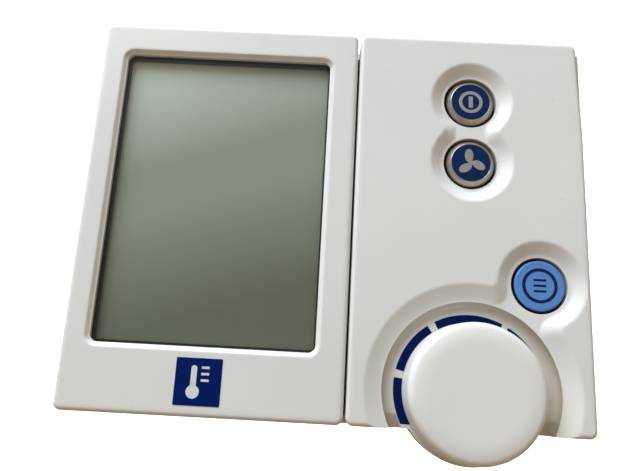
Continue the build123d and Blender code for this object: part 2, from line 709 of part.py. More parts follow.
def mode_cap():
    top = [(0, MODE_CAP_TOP), (MODE_CAP_RADIUS, MODE_CAP_TOP)]
    body = turned(MODE_X, MODE_Z, top + cap_back(MODE_CAP_RADIUS))
    body = fillet(body.faces().sort_by(Axis.Y)[0].edges(), 0.5)
    return body - Compound(mode_symbol_solids())


def mode_symbol_solids():
    """A ring around three short bars, the common sign for a menu."""
    near, far = MODE_CAP_TOP, MODE_CAP_TOP + INK
    ring = disc(MODE_X, MODE_Z, 4.75, near, far) - disc(MODE_X, MODE_Z, 3.85, near, far)
    bars = [block(MODE_X - 1.7, MODE_X + 1.7, z - 0.32, z + 0.32, near, far)
            for z in (MODE_Z - 1.5, MODE_Z, MODE_Z + 1.5)]
    return [ring] + bars


# ---------------------------------------------------------------- dial
def scale_arcs():
    """Four arcs let into the recess floor; the two lowest end level."""
    reach = 2 * ARC_OUTER
    above = block(DIAL_X - reach, DIAL_X + reach, ARC_BOTTOM, DIAL_Z + reach, 0, POD_FAR)
    return [
        sector(DIAL_X, DIAL_Z, ARC_INNER, ARC_OUTER, start, end, RECESS_FLOOR, RECESS_FLOOR + INK) & above
        for start, end in ARC_SPANS
    ]


def dial_knob():
    inside = KNOB_FACE + KNOB_WALL
    body = turned(DIAL_X, DIAL_Z, [
        (0, KNOB_FACE),
        (KNOB_TOP_RADIUS, KNOB_FACE),
        (KNOB_BASE_RADIUS, KNOB_BASE),
        (0, KNOB_BASE),
    ])
    body = fillet(body.faces().sort_by(Axis.Y)[0].edges(), KNOB_ROUND)
    body -= disc(DIAL_X, DIAL_Z, KNOB_TOP_RADIUS - KNOB_WALL, inside, KNOB_BASE)
    body += disc(DIAL_X, DIAL_Z, KNOB_HUB_RADIUS, inside, SHAFT_FLAT_END)
    rib_reach = KNOB_TOP_RADIUS - KNOB_WALL + 0.3
    for n in range(6):
        rib = Pos(rib_reach / 2, 0) * Rectangle(rib_reach, 1.2)
        turned_rib = Pos(DIAL_X, DIAL_Z) * Rot(0, 0, 60 * n) * rib
        body += slab(turned_rib, inside, SHAFT_FLAT_END - 1)
    bore = disc(DIAL_X, DIAL_Z, SHAFT_RADIUS, SHAFT_TOP, KNOB_BASE)
    return body - (bore - shaft_flat())


# ---------------------------------------------------------------- all nodes
NODES = {
    "wall_plate": wall_plate,
    "rear_case": rear_case,
    "lock_screw": lock_screw,
    "case_screws": case_screws,
    "display_bezel": display_bezel,
    "control_cover": control_cover,
    "badge": badge,
    "badge_symbol": badge_symbol,
    "display_lens": display_lens,
    "lens_gasket": lens_gasket,
    "lcd_front_glass": lcd_front_glass,
    "lcd_rear_glass": lcd_rear_glass,
    "light_guide": light_guide,
    "reflector_sheet": reflector_sheet,
    "lcd_frame": lcd_frame,
    "connector_strips": connector_strips,
    "main_board": main_board,
    "board_screws": board_screws,
    "power_switch": lambda: push_switch(BUTTON_X, POWER_Z),
    "function_switch": lambda: push_switch(BUTTON_X, FUNCTION_Z),
    "mode_switch": lambda: push_switch(MODE_X, MODE_Z),
    "power_plunger": lambda: plunger(BUTTON_X, POWER_Z),
    "function_plunger": lambda: plunger(BUTTON_X, FUNCTION_Z),
    "mode_plunger": lambda: plunger(MODE_X, MODE_Z),
    "encoder_body": encoder_body,
    "encoder_bushing": encoder_bushing,
    "encoder_shaft": encoder_shaft,
    "encoder_rotor": encoder_rotor,
    "terminal_block": terminal_block,
    "terminal_screws": terminal_screws,
    "microcontroller": microcontroller,
    "crystal": crystal,
    "capacitor": capacitor,
    "voltage_regulator": voltage_regulator,
    "temperature_sensor": temperature_sensor,
    "power_button": lambda: round_cap(BUTTON_X, POWER_Z),
    "power_inlay": lambda: cap_inlay(BUTTON_X, POWER_Z) - power_symbol(),
    "power_symbol": power_symbol,
    "function_button": lambda: round_cap(BUTTON_X, FUNCTION_Z),
    "function_inlay": lambda: cap_inlay(BUTTON_X, FUNCTION_Z) - function_symbol(),
    "function_symbol": function_symbol,
    "mode_button": mode_cap,
    "mode_symbol": mode_symbol_solids,
    "scale_arcs": scale_arcs,
    "dial_knob": dial_knob,
}


def write_parts():
    os.makedirs("parts", exist_ok=True)
    for name, make in NODES.items():
        made = make()
        solids = made if isinstance(made, list) else [made]
        shape = solids[0] if len(solids) == 1 else Compound(solids)
        export_step(shape, f"parts/{name}.step")


write_parts()
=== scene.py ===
"""Looks of the wall thermostat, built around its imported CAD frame.

Depths are measured back from the front face of the covers, in millimetres, as in the design;
the meshes themselves are in metres. X is to the right, Z up, the wall is the plane y = 0.
"""

import math

import bmesh
import bpy
from mathutils import Matrix, Vector
from mathutils.geometry import delaunay_2d_cdt


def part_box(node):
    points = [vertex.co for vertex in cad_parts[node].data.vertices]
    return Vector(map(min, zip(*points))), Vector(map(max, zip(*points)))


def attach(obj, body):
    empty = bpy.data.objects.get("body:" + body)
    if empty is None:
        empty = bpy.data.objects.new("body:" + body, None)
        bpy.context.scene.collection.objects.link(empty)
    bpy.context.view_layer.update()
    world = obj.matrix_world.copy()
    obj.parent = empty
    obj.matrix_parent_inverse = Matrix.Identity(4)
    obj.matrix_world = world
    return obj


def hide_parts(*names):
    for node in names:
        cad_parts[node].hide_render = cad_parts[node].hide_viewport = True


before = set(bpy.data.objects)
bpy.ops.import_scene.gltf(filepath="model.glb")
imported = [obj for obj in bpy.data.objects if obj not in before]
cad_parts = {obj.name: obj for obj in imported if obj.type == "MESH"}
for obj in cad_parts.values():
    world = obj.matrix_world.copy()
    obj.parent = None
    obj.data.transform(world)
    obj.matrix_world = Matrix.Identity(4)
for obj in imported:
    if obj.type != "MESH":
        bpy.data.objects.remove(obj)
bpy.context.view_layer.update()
scene = bpy.context.scene
MM = 0.001

# ---------------------------------------------------------------- places read from the frame


def node_box(node):
    """A node's box in millimetres."""
    low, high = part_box(node)
    return low / MM, high / MM


def middle(node):
    """The middle of a node as the user sees it, (x, z) in millimetres."""
    low, high = node_box(node)
    return ((low.x + high.x) / 2, (low.z + high.z) / 2)


bezel_low, bezel_high = node_box("display_bezel")
cover_low, cover_high = node_box("control_cover")
FRONT = bezel_low.y
HALF_HEIGHT = bezel_high.z

lens_low, lens_high = node_box("display_lens")
WINDOW_X, WINDOW_Z = middle("display_lens")
LENS_MARGIN = 1.5
WINDOW_WIDTH = lens_high.x - lens_low.x - 2 * LENS_MARGIN
WINDOW_HEIGHT = lens_high.z - lens_low.z - 2 * LENS_MARGIN

POWER = middle("power_button")
FUNCTION = middle("function_button")
MODE = middle("mode_button")
DIAL = middle("encoder_shaft")

# sizes shared with the design
CORNER = 2.0
FRONT_ROUND = 1.2
WALL = 2.0
FACE = 2.2
SKIN = 1.8
PARTING = 11.0
HOLE_BACK = 4.6
BUTTON_HOLE = 7.5
MODE_HOLE = 7.6
DISH_DEPTH = 2.0
DISH_SLOPE_WIDTH = 3.7
BUTTON_FLOOR = 8.0
MODE_FLOOR = 8.3
NECK_HALF = 4.0
MODE_NECK_HALF = 5.5
CAP_FOOT = 2.8
DIAL_DISH = 28.2
RECESS = 23.2
RECESS_FLOOR = 4.1
RECESS_FLOOR_FAR = 6.2
SCALE_RADIUS = 20.2
FACET_TOP = -51.35
FACET_SLOPE = 0.44
BUSHING_HOLE = 3.9
POD_RADIUS = 18.58
POD_FAR = 9.5
POD_WALL = 1.6
ARC_INNER, ARC_OUTER = 16.4, 20.0
ARC_SPANS = [(-33, 59), (64, 118), (124, 166), (172, 213)]
ARC_BOTTOM = -54.0
WINDOW_BEVEL_DEPTH = 1.0
WINDOW_BEVEL_WIDTH = 1.3
WINDOW_CORNER = 2.0
WINDOW_BACK = 1.3
INK_DEPTH = 0.2
INK_PROUD = 0.03

# parts of the caps and the knob, as in the design
CAP_RIM = 5.8
CAP_BASE = 6.9
CAP_WALL = 1.5
CAP_INSIDE = 3.4
CAP_POCKET = 5.45
POCKET_DEPTH = 0.8
STEM = 2.2
FLANGE_NEAR, FLANGE_FAR = 5.0, 6.0
KNOB_WALL = 2.0
HUB = 5.4
HUB_BACK = 1.5
SHAFT = 3.0
SHAFT_TOP = -3.0

# how the dishes are rounded, which the design leaves sharp
DISH_SOFT = 0.12  # share of a side that is rounded at its top and at its foot
TWIN_BLEND = 0.2  # between the power and function dishes
NECK_BLEND = 1.2
MODE_NECK_BLEND = 1.6
JOIN_BLEND = 0.55  # share of a side, between the mode dish and the dial's dish
RECESS_POWER = 3.5  # how much of the recess's side lies close under its edge

# mesh spacing of the covers
FINE, COARSE = 0.5, 1.4
ROW_STEP = 0.87  # height of a row of near-equilateral triangles
LOOP_STEP = 0.9
LONGEST_LINK = 2.5


# ---------------------------------------------------------------- mesh helpers


def add_piece(name, vertices, faces, material, body, sharp_angle=32.0):
    """A mesh object from points in millimetres, smooth-shaded up to the sharp angle."""
    mesh = bpy.data.meshes.new(name)
    mesh.from_pydata([Vector(v) * MM for v in vertices], [], faces)
    work = bmesh.new()
    work.from_mesh(mesh)
    bmesh.ops.remove_doubles(work, verts=work.verts, dist=1e-7)
    bmesh.ops.recalc_face_normals(work, faces=work.faces)
    work.to_mesh(mesh)
    work.free()
    mesh.shade_smooth()
    mesh.set_sharp_from_angle(angle=math.radians(sharp_angle))
    mesh.materials.append(material)
    piece = bpy.data.objects.new(name, mesh)
    scene.collection.objects.link(piece)
    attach(piece, body)
    return piece


def circle(centre, radius, count):
    """Points evenly round a circle in the front view."""
    return [
        (centre[0] + radius * math.cos(2 * math.pi * n / count),
         centre[1] + radius * math.sin(2 * math.pi * n / count))
        for n in range(count)
    ]


def rounded_loop(corners, radius, inset, step):
    """A convex outline with rounded corners, moved inward by inset; corners run anticlockwise."""
    loop = []
    count = len(corners)
    for n in range(count):
        before, here, after = (Vector(corners[(n + k) % count]) for k in (-1, 0, 1))
        come, go = (here - before).normalized(), (after - here).normalized()
        turn = math.acos(max(-1.0, min(1.0, come.dot(go))))
        hub = here - come * radius * math.tan(turn / 2) + Vector((-come.y, come.x)) * radius
        start = math.atan2(-come.x, come.y)
        keep = max(radius - inset, 0.0)
        if keep == 0.0:
            reach = (inset - radius) / math.cos(turn / 2)
            inward = (Vector((-come.y, come.x)) + Vector((-go.y, go.x))).normalized()
            loop.append(tuple(hub + inward * reach))
            continue
        bits = max(1, round(math.degrees(turn) / 9))
        for k in range(bits + 1):
            angle = start + turn * k / bits
            loop.append((hub.x + keep * math.cos(angle), hub.y + keep * math.sin(angle)))
    spaced = []
    for n, here in enumerate(loop):
        there = loop[(n + 1) % len(loop)]
        pieces = max(1, math.ceil(math.dist(here, there) / step))
        for k in range(pieces):
            share = k / pieces
            spaced.append((here[0] + (there[0] - here[0]) * share,
                           here[1] + (there[1] - here[1]) * share))
    return spaced


def rectangle(centre, width, height):
    """A rectangle's corners, anticlockwise."""
    x, z = centre
    return [(x - width / 2, z - height / 2), (x + width / 2, z - height / 2),
            (x + width / 2, z + height / 2), (x - width / 2, z + height / 2)]


def side_distance(corners, x, z):
    """How far a point lies inside the nearest side of a convex outline."""
    least = math.inf
    for n, here in enumerate(corners):
        there = corners[(n + 1) % len(corners)]
        dx, dz = there[0] - here[0], there[1] - here[1]
        inside = (dx * (z - here[1]) - dz * (x - here[0])) / math.hypot(dx, dz)
        least = min(least, inside)
    return least


def eased(share, soft):
    """0 to 1 with rounded ends and a straight middle."""
    share = max(0.0, min(1.0, share))
    scale = 2 * soft * (1 - soft)
    if share < soft:
        return share * share / scale
    if share > 1 - soft:
        return 1 - (1 - share) ** 2 / scale
    return (share - soft / 2) / (1 - soft)


def blend_low(a, b, reach):
    """The lower of two distances, rounded where they meet."""
    mix = max(0.0, min(1.0, 0.5 + (b - a) / (2 * reach)))
    return b + (a - b) * mix - reach * mix * (1 - mix)


def to_segment(x, z, start, end):
    """Distance from a point to the line between two others."""
    ax, az = end[0] - start[0], end[1] - start[1]
    share = ((x - start[0]) * ax + (z - start[1]) * az) / (ax * ax + az * az)
    share = max(0.0, min(1.0, share))
    return math.hypot(x - start[0] - ax * share, z - start[1] - az * share)


def rim_depth(inset):
    """Depth of the rounded front edge at a distance in from the outline."""
    if inset >= FRONT_ROUND:
        return 0.0
    return FRONT_ROUND - math.sqrt(FRONT_ROUND**2 - (FRONT_ROUND - inset) ** 2)


def moulded_cover(name, corners, holes, rings, fine, depth_at, hole_back, material, extra=None):
    """A hollow cover meshed in the front view.

    holes are outlines to leave open, rings are loops that the mesh follows, fine says where the
    mesh is dense, depth_at gives the front surface's depth and hole_back the far side of a hole.
    """
    points, insets, links = [], [], []

    def add_loop(loop, inset=math.inf):
        first, count = len(points), len(loop)
        points.extend(loop)
        insets.extend([inset] * count)
        for n in range(count):
            m = (n + 1) % count
            if math.dist(loop[n], loop[m]) < LONGEST_LINK:
                links.append((first + n, first + m))

    for angle in range(0, 91, 15):
        inset = FRONT_ROUND * (1 - math.cos(math.radians(angle)))
        add_loop(rounded_loop(corners, CORNER, inset, LOOP_STEP), inset)
    add_loop(rounded_loop(corners, CORNER, WALL, LOOP_STEP))
    for loop in holes:
        add_loop(loop)
    for loop in rings:
        add_loop([p for p in loop if side_distance(corners, *p) > 0.0])
    taken = {(round(x / FINE), round(z / FINE)) for x, z in points}
    xs, zs = [c[0] for c in corners], [c[1] for c in corners]
    for spacing, dense in ((FINE, True), (COARSE, False)):
        for j in range(int((max(zs) - min(zs)) / (spacing * ROW_STEP))):
            z = min(zs) + j * spacing * ROW_STEP
            for i in range(int((max(xs) - min(xs)) / spacing)):
                x = min(xs) + (i + 0.5 * (j % 2)) * spacing
                if fine(x, z) != dense or side_distance(corners, x, z) < FRONT_ROUND + 0.3:
                    continue
                if (round(x / FINE), round(z / FINE)) in taken:
                    continue
                points.append((x, z))
                insets.append(math.inf)

    flat, _, triangles, sources, _, _ = delaunay_2d_cdt(
        [Vector(p) for p in points], links, [], 0, 1e-5)
    hole_shapes = [[Vector(p) for p in loop] for loop in holes]
    rim = []
    for n, p in enumerate(flat):
        inset = min([insets[old] for old in sources[n]], default=side_distance(corners, p.x, p.y))
        rim.append(rim_depth(max(inset, 0.0)))
    front = [(p.x, FRONT + max(rim[n], depth_at(p.x, p.y)), p.y) for n, p in enumerate(flat)]
    count = len(front)
    back = [[x, FRONT + max(FACE, y - FRONT + SKIN), z] for x, y, z in front]
    parting = [(x, FRONT + PARTING, z) for x, _, z in front]

    faces, owner = [], {}
    for triangle in triangles:
        x = sum(flat[n].x for n in triangle) / 3
        z = sum(flat[n].y for n in triangle) / 3
        if any(inside_loop(shape, x, z) for shape in hole_shapes):
            continue
        shift = count if side_distance(corners, x, z) > WALL else 2 * count
        faces.append(tuple(triangle))
        faces.append(tuple(n + shift for n in reversed(triangle)))
        for k in range(3):
            owner[(triangle[k - 1], triangle[k])] = shift
    for (here, there), shift in owner.items():
        other = owner.get((there, here))
        if other is None:
            faces.append((there, here, here + shift, there + shift))
            if shift == count:
                for n in (here, there):
                    back[n][1] = FRONT + hole_back(flat[n].x, flat[n].y)
        elif shift < other:
            faces.append((there + shift, here + shift, here + other, there + other))
    vertices = front + back + parting
    used = sorted({n for face in faces for n in face})
    place = {n: k for k, n in enumerate(used)}
    vertices = [vertices[n] for n in used]
    faces = [tuple(place[n] for n in face) for face in faces]
    if extra:
        more_vertices, more_faces = extra
        faces += [tuple(n + len(vertices) for n in face) for face in more_faces]
        vertices += more_vertices
    return add_piece(name, vertices, faces, material, "housing")


def inside_loop(loop, x, z):
    """Whether a point lies inside an outline of vectors."""
    inside = False
    for here, there in zip(loop, loop[1:] + loop[:1]):
        if (here.y > z) != (there.y > z):
            cross = here.x + (z - here.y) * (there.x - here.x) / (there.y - here.y)
            if x < cross:
                inside = not inside
    return inside


def lathe(name, centre, profile, material, body, segments=128, sharp_angle=32.0):
    """A closed body of revolution about an axis along Y, from (radius, depth) points."""
    vertices, faces = [], []
    rows = []
    for radius, depth in profile:
        if radius < 1e-6:
            rows.append([len(vertices)] * segments)
            vertices.append((centre[0], FRONT + depth, centre[1]))
            continue
        rows.append(list(range(len(vertices), len(vertices) + segments)))
        vertices.extend((x, FRONT + depth, z) for x, z in circle(centre, radius, segments))
    for near, far in zip(rows, rows[1:]):
        for n in range(segments):
            m = (n + 1) % segments
            face = [near[n], near[m], far[m], far[n]]
            face = [v for k, v in enumerate(face) if v != face[k - 1]]
            if len(face) > 2:
                faces.append(tuple(face))
    return add_piece(name, vertices, faces, material, body, sharp_angle)


def arc_points(centre, radius, start, end, steps):
    """(radius, depth) points on an arc of a profile; angles in degrees, 0 outward, 90 back."""
    points = []
    for n in range(steps + 1):
        angle = math.radians(start + (end - start) * n / steps)
        points.append((centre[0] + radius * math.cos(angle), centre[1] + radius * math.sin(angle)))
    return points


# ---------------------------------------------------------------- materials


class Nodes:
    """Short calls for building a node material."""

    def __init__(self, name):
        self.material = bpy.data.materials.new(name)
        self.material.use_nodes = True
        self.tree = self.material.node_tree
        self.shader = self.tree.nodes["Principled BSDF"]
        self.place = self.add("ShaderNodeTexCoord").outputs["Object"]

    def add(self, kind, **settings):
        node = self.tree.nodes.new(kind)
        for key, value in settings.items():
            setattr(node, key, value)
        return node

    def link(self, source, target):
        self.tree.links.new(source, target)

    def noise(self, scale, detail=3.0, roughness=0.5, stretch=None):
        node = self.add("ShaderNodeTexNoise")
        node.inputs["Scale"].default_value = scale
        node.inputs["Detail"].default_value = detail
        node.inputs["Roughness"].default_value = roughness
        place = self.place
        if stretch:
            mapping = self.add("ShaderNodeMapping")
            mapping.inputs["Scale"].default_value = stretch
            self.link(place, mapping.inputs["Vector"])
            place = mapping.outputs["Vector"]
        self.link(place, node.inputs["Vector"])
        return node.outputs["Fac"]

    def ramp(self, source, low, high, first, last):
        """Map source from low..high to first..last, for numbers or colours."""
        if isinstance(first, tuple):
            node = self.add("ShaderNodeValToRGB")
            node.color_ramp.elements[0].position = low
            node.color_ramp.elements[0].color = (*first, 1)
            node.color_ramp.elements[1].position = high
            node.color_ramp.elements[1].color = (*last, 1)
            self.link(source, node.inputs["Fac"])
            return node.outputs["Color"]
        node = self.add("ShaderNodeMapRange")
        for key, value in zip(("From Min", "From Max", "To Min", "To Max"), (low, high, first, last)):
            node.inputs[key].default_value = value
        self.link(source, node.inputs["Value"])
        return node.outputs["Result"]

    def mix(self, share, first, second, blend="MIX"):
        node = self.add("ShaderNodeMix", data_type="RGBA", blend_type=blend)
        sockets = (node.inputs["Factor"], node.inputs[6], node.inputs[7])
        for socket, value in zip(sockets, (share, first, second)):
            if isinstance(value, (int, float)):
                socket.default_value = value
            elif isinstance(value, tuple):
                socket.default_value = (*value, 1)
            else:
                self.link(value, socket)
        return node.outputs[2]

    def bump(self, height, distance, strength=1.0, normal=None):
        node = self.add("ShaderNodeBump")
        node.inputs["Distance"].default_value = distance
        node.inputs["Strength"].default_value = strength
        self.link(height, node.inputs["Height"])
        if normal:
            self.link(normal, node.inputs["Normal"])
        return node.outputs["Normal"]

    def set(self, **values):
        for key, value in values.items():
            socket = self.shader.inputs[key.replace("_", " ")]
            if hasattr(value, "is_output"):
                self.link(value, socket)
            elif isinstance(value, tuple) and len(value) == 3:
                socket.default_value = (*value, 1)
            else:
                socket.default_value = value
        return self.material


def shade(colour, factor):
    """The same colour, lighter or darker."""
    return tuple(min(1.0, c * factor) for c in colour)


def moulded(name, colour, roughness, grain=8e-6, grain_scale=2600.0, variation=0.03, specular=0.5,
            painted_shade=None):
    """Moulded plastic: faint mottling, fine surface grain and a few polished or dusty patches."""
    n = Nodes(name)
    broad = n.noise(22.0, 4.0, 0.55)
    specks = n.noise(900.0, 1.0)
    base = n.ramp(broad, 0.3, 0.7, shade(colour, 1 - variation), shade(colour, 1 + variation))
    dust = n.ramp(specks, 0.76, 0.80, 0.0, 0.35)
    base = n.mix(dust, base, shade(colour, 0.62))
    # painted shade from the given function, where one is given
    if painted_shade:
        base = painted_shade(n, base)
    wear = n.noise(60.0, 5.0, 0.6)
    fine = n.noise(grain_scale, 2.0)
    wide = n.noise(240.0, 2.0)
    normal = n.bump(fine, grain)
    normal = n.bump(wide, grain * 1.5, normal=normal)
    rough = n.ramp(wear, 0.3, 0.7, roughness * 0.86, roughness * 1.14)
    return n.set(Base_Color=base, Roughness=rough, Normal=normal, Specular_IOR_Level=specular)


def painted_gap_shade(n, base):
    """Painted shade on the part of a cap that sits down in its hole, darker the deeper it goes."""
    split = n.add("ShaderNodeSeparateXYZ")
    n.link(n.place, split.inputs["Vector"])
    start, full = 0.15, 0.75
    mouth = FRONT + DISH_DEPTH
    share = n.ramp(split.outputs["Y"], (mouth + start) * MM, (mouth + full) * MM, 0.0, 0.96)
    return n.mix(share, base, (0.010, 0.009, 0.008))


def painted_hollow_shade(n, base):
    """Painted shade in the hollow around the dial: warmer and darker, heaviest under its sharp edge,
    where that edge's shadow falls.
    """
    offset = n.add("ShaderNodeVectorMath", operation="SUBTRACT")
    n.link(n.place, offset.inputs[0])
    offset.inputs[1].default_value = (DIAL[0] * MM, 0, DIAL[1] * MM)
    flat = n.add("ShaderNodeVectorMath", operation="MULTIPLY")
    n.link(offset.outputs["Vector"], flat.inputs[0])
    flat.inputs[1].default_value = (1, 0, 1)
    radius = n.add("ShaderNodeVectorMath", operation="LENGTH")
    n.link(flat.outputs["Vector"], radius.inputs[0])
    reach = radius.outputs["Value"]
    clean, edge = SCALE_RADIUS - 1.0, 0.15
    share = n.add("ShaderNodeMath", operation="MULTIPLY")
    n.link(n.ramp(reach, clean * MM, RECESS * MM, 0.25, 1.0), share.inputs[0])
    n.link(n.ramp(reach, RECESS * MM, (RECESS + edge) * MM, 1.0, 0.0), share.inputs[1])
    return n.mix(share.outputs[0], base, (0.49, 0.43, 0.335))


def printed(name, colour, roughness=0.32, specular=0.3):
    """Ink: nearly even, with faint blots and a fine grain."""
    n = Nodes(name)
    blot = n.noise(500.0, 4.0, 0.6)
    base = n.ramp(blot, 0.25, 0.75, shade(colour, 0.86), shade(colour, 1.14))
    rough = n.ramp(n.noise(1400.0, 2.0), 0.3, 0.7, roughness * 0.8, roughness * 1.2)
    normal = n.bump(n.noise(3200.0, 1.0), 4e-6)
    return n.set(Base_Color=base, Roughness=rough, Normal=normal, Specular_IOR_Level=specular)


def metallic(name, colour, roughness, metal=1.0, brushed=None, painted_shade=None):
    """Metal or metallic paint, with flake or brushing in its roughness and normal."""
    n = Nodes(name)
    flake = n.noise(5200.0, 1.0)
    base = n.ramp(flake, 0.3, 0.7, shade(colour, 0.88), shade(colour, 1.1))
    # painted shade from the given function, where one is given
    if painted_shade:
        base = painted_shade(n, base)
    grain = n.noise(1800.0, 3.0, 0.6, brushed)
    rough = n.ramp(grain, 0.25, 0.75, roughness * 0.75, roughness * 1.25)
    normal = n.bump(grain, 4e-6)
    return n.set(Base_Color=base, Roughness=rough, Normal=normal, Metallic=metal)


def lcd_material():
    """The resting liquid crystal: grey-green, with painted light and shade that make it lighter and
    cooler at the top left and darker at the bottom right.
    """
    n = Nodes("lcd_cell")
    split = n.add("ShaderNodeSeparateXYZ")
    n.link(n.place, split.inputs["Vector"])
    low, high = node_box("lcd_rear_glass")
    across = n.ramp(split.outputs["X"], low.x * MM, high.x * MM, 0.0, 1.0)
    up = n.ramp(split.outputs["Z"], low.z * MM, high.z * MM, 0.0, 1.0)
    # foot, body and head paint the cell's light and shade: darker at the bottom right, lighter at the
    # top left
    foot, body, head = (0.170, 0.188, 0.138), (0.385, 0.412, 0.330), (0.80, 0.855, 0.79)
    haze = (0.45, 0.47, 0.42)
    slant = n.add("ShaderNodeMath", operation="MULTIPLY_ADD")
    n.link(across, slant.inputs[0])
    slant.inputs[1].default_value = -0.25
    n.link(up, slant.inputs[2])
    cloud = n.noise(26.0, 2.0)
    base = n.ramp(slant.outputs[0], 0.0, 0.38, foot, body)
    base = n.mix(n.ramp(slant.outputs[0], 0.55, 0.95, 0.0, 1.0), base, head)
    base = n.mix(n.ramp(cloud, 0.3, 0.7, 0.0, 0.06), base, haze)
    normal = n.bump(n.noise(3000.0, 1.0), 3e-6)
    rough = n.ramp(cloud, 0.3, 0.7, 0.38, 0.46)
    return n.set(Base_Color=base, Roughness=rough, Normal=normal, Specular_IOR_Level=0.2)


def clear_pane(name, tint, roughness=0.02):
    """Thin clear acrylic: a mirror share on a see-through pane."""
    n = Nodes(name)
    n.tree.nodes.remove(n.shader)
    output = n.tree.nodes["Material Output"]
    through = n.add("ShaderNodeBsdfTransparent")
    through.inputs["Color"].default_value = (*tint, 1)
    gloss = n.add("ShaderNodeBsdfGlossy")
    smear = n.ramp(n.noise(45.0, 4.0, 0.65), 0.35, 0.75, roughness, roughness * 3)
    n.link(smear, gloss.inputs["Roughness"])
    facing = n.add("ShaderNodeLayerWeight")
    steep = n.add("ShaderNodeMath", operation="POWER")
    n.link(facing.outputs["Facing"], steep.inputs[0])
    steep.inputs[1].default_value = 5.0
    mirror = n.ramp(steep.outputs[0], 0.0, 1.0, 0.035, 1.0)
    mix = n.add("ShaderNodeMixShader")
    n.link(mirror, mix.inputs["Fac"])
    n.link(through.outputs["BSDF"], mix.inputs[1])
    n.link(gloss.outputs["BSDF"], mix.inputs[2])
    n.link(mix.outputs["Shader"], output.inputs["Surface"])
    return n.material


WHITE = (0.80, 0.795, 0.78)
shell_white = moulded("shell_white", WHITE, 0.36)
knob_white = moulded("knob_white", (0.85, 0.845, 0.825), 0.32, grain=3e-6, grain_scale=1800.0)
# the control cover's white carries painted shade in the hollow around the dial
cover_white = moulded("cover_white", WHITE, 0.4, specular=0.4, painted_shade=painted_hollow_shade)
rear_white = moulded("rear_white", (0.68, 0.675, 0.65), 0.5, grain=1.6e-5)
plate_grey = moulded("plate_grey", (0.60, 0.60, 0.58), 0.55, grain=2e-5, grain_scale=1700.0)
navy_ink = printed("navy_ink", (0.0012, 0.0085, 0.078), 0.35, 0.08)
badge_navy = printed("badge_navy", (0.0008, 0.013, 0.125), 0.4, 0.06)
badge_white = printed("badge_white", (0.74, 0.75, 0.76), 0.4)
# the silver caps carry painted shade where they sit down in their holes
silver_paint = metallic("silver_paint", (0.45, 0.41, 0.35), 0.33, 0.8, painted_shade=painted_gap_shade)
inlay_blue = moulded("inlay_blue", (0.003, 0.019, 0.085), 0.3, grain=4e-6, variation=0.15, specular=0.15)
symbol_silver = metallic("symbol_silver", (0.43, 0.415, 0.39), 0.4, 0.6)
# the mode button carries painted shade where it sits down in its hole
mode_blue = moulded("mode_blue", (0.100, 0.265, 0.66), 0.22, grain=3e-6, variation=0.05, painted_shade=painted_gap_shade)
mode_ink = printed("mode_ink", (0.004, 0.012, 0.075), 0.3)
gasket_black = moulded("gasket_black", (0.006, 0.006, 0.007), 0.4, variation=0.1)
lens_clear = clear_pane("lens_clear", (0.96, 0.97, 0.96))
lcd_cell = lcd_material()

MATERIALS = {
    "wall_plate": plate_grey,
    "rear_case": rear_white,
    "scale_arcs": navy_ink,
    "badge": badge_navy,
    "badge_symbol": badge_white,
    "display_lens": lens_clear,
    "lens_gasket": gasket_black,
    "lcd_front_glass": lcd_cell,
    "lcd_rear_glass": lcd_cell,
    "power_inlay": inlay_blue,
    "power_symbol": symbol_silver,
    "function_inlay": inlay_blue,
    "function_symbol": symbol_silver,
    "mode_button": mode_blue,
    "mode_symbol": mode_ink,
    "light_guide": moulded("frosted_acrylic", (0.80, 0.82, 0.78), 0.45),
    "reflector_sheet": moulded("white_film", (0.85, 0.85, 0.85), 0.3, grain=2e-6),
    "lcd_frame": moulded("white_nylon", (0.62, 0.62, 0.6), 0.5),
    "connector_strips": moulded("strip_rubber", (0.02, 0.02, 0.022), 0.7),
    "main_board": moulded("solder_mask", (0.012, 0.13, 0.045), 0.28, grain=5e-6, variation=0.15),
    "terminal_block": moulded("terminal_green", (0.02, 0.19, 0.06), 0.42, variation=0.08),
    "encoder_bushing": metallic("brass_bright", (0.78, 0.60, 0.30), 0.28),
    "encoder_rotor": metallic("brass_dull", (0.70, 0.53, 0.27), 0.4),
    "temperature_sensor": moulded("bead_black", (0.012, 0.012, 0.015), 0.25),
}
zinc = metallic("zinc_plate", (0.62, 0.62, 0.60), 0.3)
for node in ("lock_screw", "case_screws", "board_screws", "terminal_screws"):
    MATERIALS[node] = zinc
for node in ("encoder_body", "encoder_shaft"):
    MATERIALS[node] = zinc
tin = metallic("drawn_can", (0.74, 0.74, 0.74), 0.22, brushed=(1, 1, 30))
for node in ("crystal", "capacitor"):
    MATERIALS[node] = tin
epoxy = moulded("chip_epoxy", (0.018, 0.018, 0.02), 0.5, grain=1.5e-5)
for node in ("microcontroller", "voltage_regulator"):
    MATERIALS[node] = epoxy
nylon = moulded("switch_nylon", (0.02, 0.02, 0.022), 0.45)
for prefix in ("power", "function", "mode"):
    MATERIALS[f"{prefix}_switch"] = nylon
    MATERIALS[f"{prefix}_plunger"] = nylon

for node, material in MATERIALS.items():
    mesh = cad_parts[node].data
    mesh.materials.clear()
    mesh.materials.append(material)


# ---------------------------------------------------------------- control cover


def dial_radius(x, z):
    return math.hypot(x - DIAL[0], z - DIAL[1])


def recess_depth(radius, z):
    """Depth inside the sharp edge around the dial: a hollow side, then a flat floor."""
    if radius < SCALE_RADIUS:
        return RECESS_FLOOR
    share = min(1.0, (radius - SCALE_RADIUS) / (RECESS - SCALE_RADIUS))
    depth = DISH_DEPTH + (RECESS_FLOOR - DISH_DEPTH) * math.sqrt(1 - share**RECESS_POWER)
    return depth + max(0.0, FACET_TOP - z) * FACET_SLOPE


